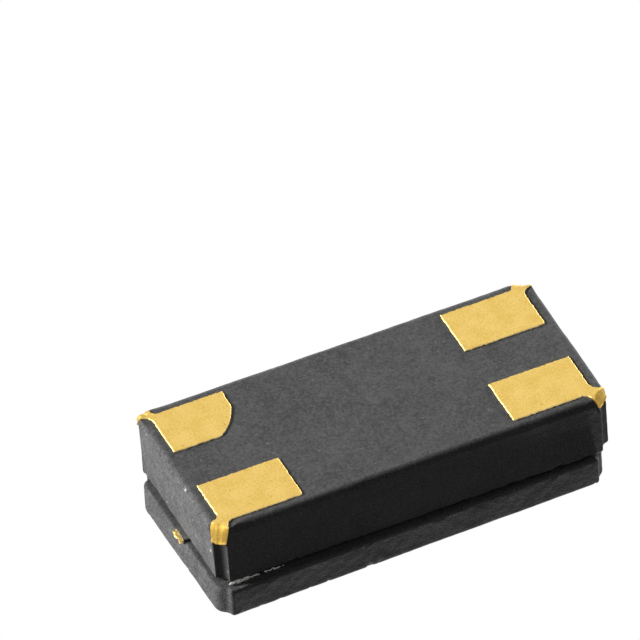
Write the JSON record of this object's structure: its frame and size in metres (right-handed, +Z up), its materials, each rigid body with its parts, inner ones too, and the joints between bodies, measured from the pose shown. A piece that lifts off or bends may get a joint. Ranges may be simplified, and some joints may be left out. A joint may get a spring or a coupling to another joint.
{
  "type": "crystal oscillator",
  "caption": "Surface-mount crystal oscillator: black ceramic package with glass-sealed ceramic lid, gold solder pads and plated corner notches.",
  "frame": {"origin": "centre of the base's footprint, in the plane of the four solder pads", "axes": "+Z up from the solder pads to the lid, +X along the length with the index pad at -X and -Y, +Y across the width"},
  "size_m": [0.0081, 0.0038, 0.002],
  "materials": {
    "black_ceramic": "matt fired, fine-grained black alumina",
    "solder_glass": "opaque grey solder glass",
    "gold_plating": "matt gold plating over sintered metal",
    "gold_track": "matt gold-plated track",
    "via_metal": "sintered metal",
    "silver_adhesive": "cured silver-filled adhesive",
    "quartz": "lapped clear quartz",
    "silver_film": "evaporated silver film",
    "silicon": "polished silicon chip",
    "gold_wire": "bright drawn gold wire"
  },
  "bodies": {
    "root": {"ceramic_base": "black_ceramic", "ceramic_lid": "black_ceramic", "glass_seal": "solder_glass", "pad_enable": "gold_plating", "pad_ground": "gold_plating", "pad_output": "gold_plating", "pad_supply": "gold_plating", "plating_tab": "gold_plating", "track_enable": "gold_track", "track_ground": "gold_track", "track_output": "gold_track", "track_supply": "gold_track", "track_crystal_a": "gold_track", "track_crystal_b": "gold_track", "via_a": "via_metal", "via_b": "via_metal", "shelf_pad_a": "gold_track", "shelf_pad_b": "gold_track", "adhesive_a": "silver_adhesive", "adhesive_b": "silver_adhesive", "quartz_blank": "quartz", "electrode_top": "silver_film", "electrode_bottom": "silver_film", "die_attach": "silver_adhesive", "oscillator_die": "silicon", "bond_wire_enable": "gold_wire", "bond_wire_ground": "gold_wire", "bond_wire_output": "gold_wire", "bond_wire_supply": "gold_wire", "bond_wire_crystal_a": "gold_wire", "bond_wire_crystal_b": "gold_wire"}
  },
  "joints": []
}
